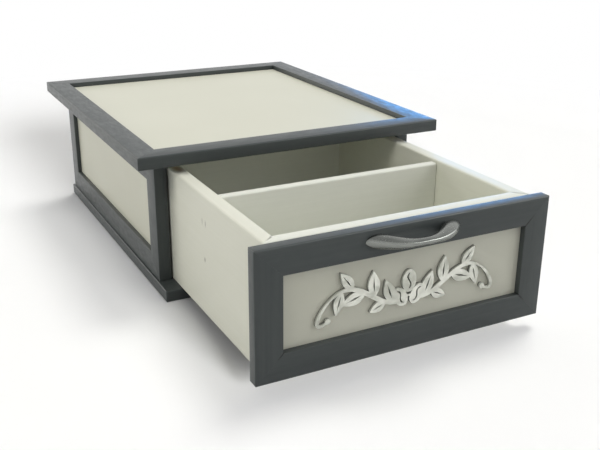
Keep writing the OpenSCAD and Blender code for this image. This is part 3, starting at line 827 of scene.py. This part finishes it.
def draw_out(rings, seat, level):
    """In edit mode, sets the profile at the first ring, draws it from ring to ring and closes the ends."""
    x, middle, thick, tall = rings[0]
    bpy.ops.transform.resize(value=(1, RING_SWELL * thick, RING_SWELL * tall), center_override=(0, 0, 0))
    bpy.ops.transform.translate(value=(x, seat - middle, level))
    for (x, middle, thick, tall), (old_x, old_middle, old_thick, old_tall) in zip(rings[1:], rings):
        bpy.ops.mesh.extrude_region_move(
            TRANSFORM_OT_translate={"value": (x - old_x, old_middle - middle, 0)})
        bpy.ops.transform.resize(
            value=(1, thick / old_thick, tall / old_tall), center_override=(x, seat - middle, level))
    bpy.ops.mesh.select_all(action="SELECT")
    bpy.ops.mesh.fill_holes(sides=0)
    bpy.ops.mesh.select_all(action="SELECT")
    bpy.ops.mesh.normals_make_consistent(inside=False)


def crease_ridges(piece, rings, seat):
    """In edit mode, sharpens the two ridges that bound the hollow front."""
    def on_a_ridge(corner):
        _, middle, thick, _ = min(rings, key=lambda ring: abs(ring[0] - corner.x))
        return (seat - middle - corner.y) / thick > RIDGE_REACH

    select_edges(piece, lambda start, end: on_a_ridge(start) and on_a_ridge(end))
    bpy.ops.transform.edge_crease(value=RIDGE_CREASE)


def bow_handle(finish):
    """Bow handle drawn out of its profile along X, rounded, and cut off flat where its feet sit."""
    low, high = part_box("bow_handle")
    seat = high.y
    rings = handle_rings(low, high)
    piece = handle_profile()
    draw_out(rings, seat, (low.z + high.z) / 2)
    crease_ridges(piece, rings, seat)
    bpy.ops.object.mode_set(mode="OBJECT")
    rounding = piece.modifiers.new("rounding", "SUBSURF")
    rounding.levels = ROUNDING_LEVELS
    rounding.render_levels = ROUNDING_LEVELS
    bpy.ops.object.modifier_apply(modifier=rounding.name)
    bpy.ops.object.mode_set(mode="EDIT")
    bpy.ops.mesh.select_all(action="SELECT")
    bpy.ops.mesh.bisect(plane_co=(0, seat, 0), plane_no=(0, 1, 0), use_fill=True, clear_outer=True)
    bpy.ops.object.mode_set(mode="OBJECT")
    smooth(piece, HANDLE_SMOOTH)
    stand_for(piece, "bow_handle", "drawer", finish)


def front_ornament(face_finish, edge_finish):
    """Ornament with crisp cut edges; its walls have their own finish."""
    piece = merged_copy("front_ornament", whole_faces=False)
    smooth(piece, ORNAMENT_SMOOTH)
    stand_for(piece, "front_ornament", "drawer", face_finish)
    piece.data.materials.append(edge_finish)
    for face in piece.data.polygons:
        face.material_index = 1 if abs(face.normal.y) < WALL_TILT else 0


# ---------- The cabinet and the drawer ----------

def frames(grey):
    """The mitred members of the top, the two sides and the drawer front, with the base and the back."""
    for place, grain in (("front", "x"), ("back", "x"), ("left", "y"), ("right", "y")):
        finished_node(f"top_frame_{place}_rail", "cabinet", grey[grain], SEAM)
    side_members = (("top_rail", "y"), ("bottom_rail", "y"), ("front_stile", "z"), ("back_stile", "z"))
    for side in ("left", "right"):
        for member, grain in side_members:
            finished_node(f"{side}_side_{member}", "cabinet", grey[grain], SEAM)
    front = {grain: drawer_front_paint(grain) for grain in "xz"}
    front_members = (("top_rail", "x"), ("bottom_rail", "x"), ("left_stile", "z"), ("right_stile", "z"))
    for member, grain in front_members:
        finished_node(f"drawer_front_{member}", "drawer", front[grain], SEAM)
    finished_node("base_board", "cabinet", grey["x"], PANEL_EDGE)
    finished_node("back_panel", "cabinet", grey["z"], PANEL_EDGE)


def panels(panel):
    """The four cream panels that the frames hold."""
    for node, body in (
        ("top_panel", "cabinet"), ("left_side_panel", "cabinet"), ("right_side_panel", "cabinet"),
        ("drawer_front_panel", "drawer"),
    ):
        finished_node(node, body, panel, PANEL_EDGE)


def boards(side, inside):
    """The drawer's box and its divider."""
    drawer_side_board("left", left_board_paint())
    drawer_side_board("right", side)
    for node in ("drawer_inner_front", "drawer_back_board", "drawer_divider"):
        finished_node(node, "drawer", inside, PANEL_EDGE)
    finished_node("drawer_bottom", "drawer", inside, PANEL_EDGE)


def fastenings(steel):
    """Brads and screws, which stay as the CAD has them."""
    for node in (
        "back_panel_brads", "base_screws", "drawer_corner_brads", "divider_brads",
        "drawer_front_screws", "handle_screws",
    ):
        keep_node(node, steel)


def main():
    """Sets the stage, then dresses the cabinet and the drawer."""
    add_camera()
    light_the_scene(pale_floor())
    grey = {grain: grey_paint(grain) for grain in "xyz"}
    frames(grey)
    panels(cream_panel())
    boards(cream_paint("y"), inside_paint_with_painted_light())
    fastenings(brushed_metal("zinc_plate", ZINC, ZINC_ROUGHNESS, ZINC_RELIEF))
    bow_handle(brushed_metal("satin_nickel", NICKEL, NICKEL_ROUGHNESS, NICKEL_RELIEF))
    front_ornament(mirror_acrylic(), cut_acrylic())
    bpy.context.scene.view_settings.view_transform = "Standard"


main()
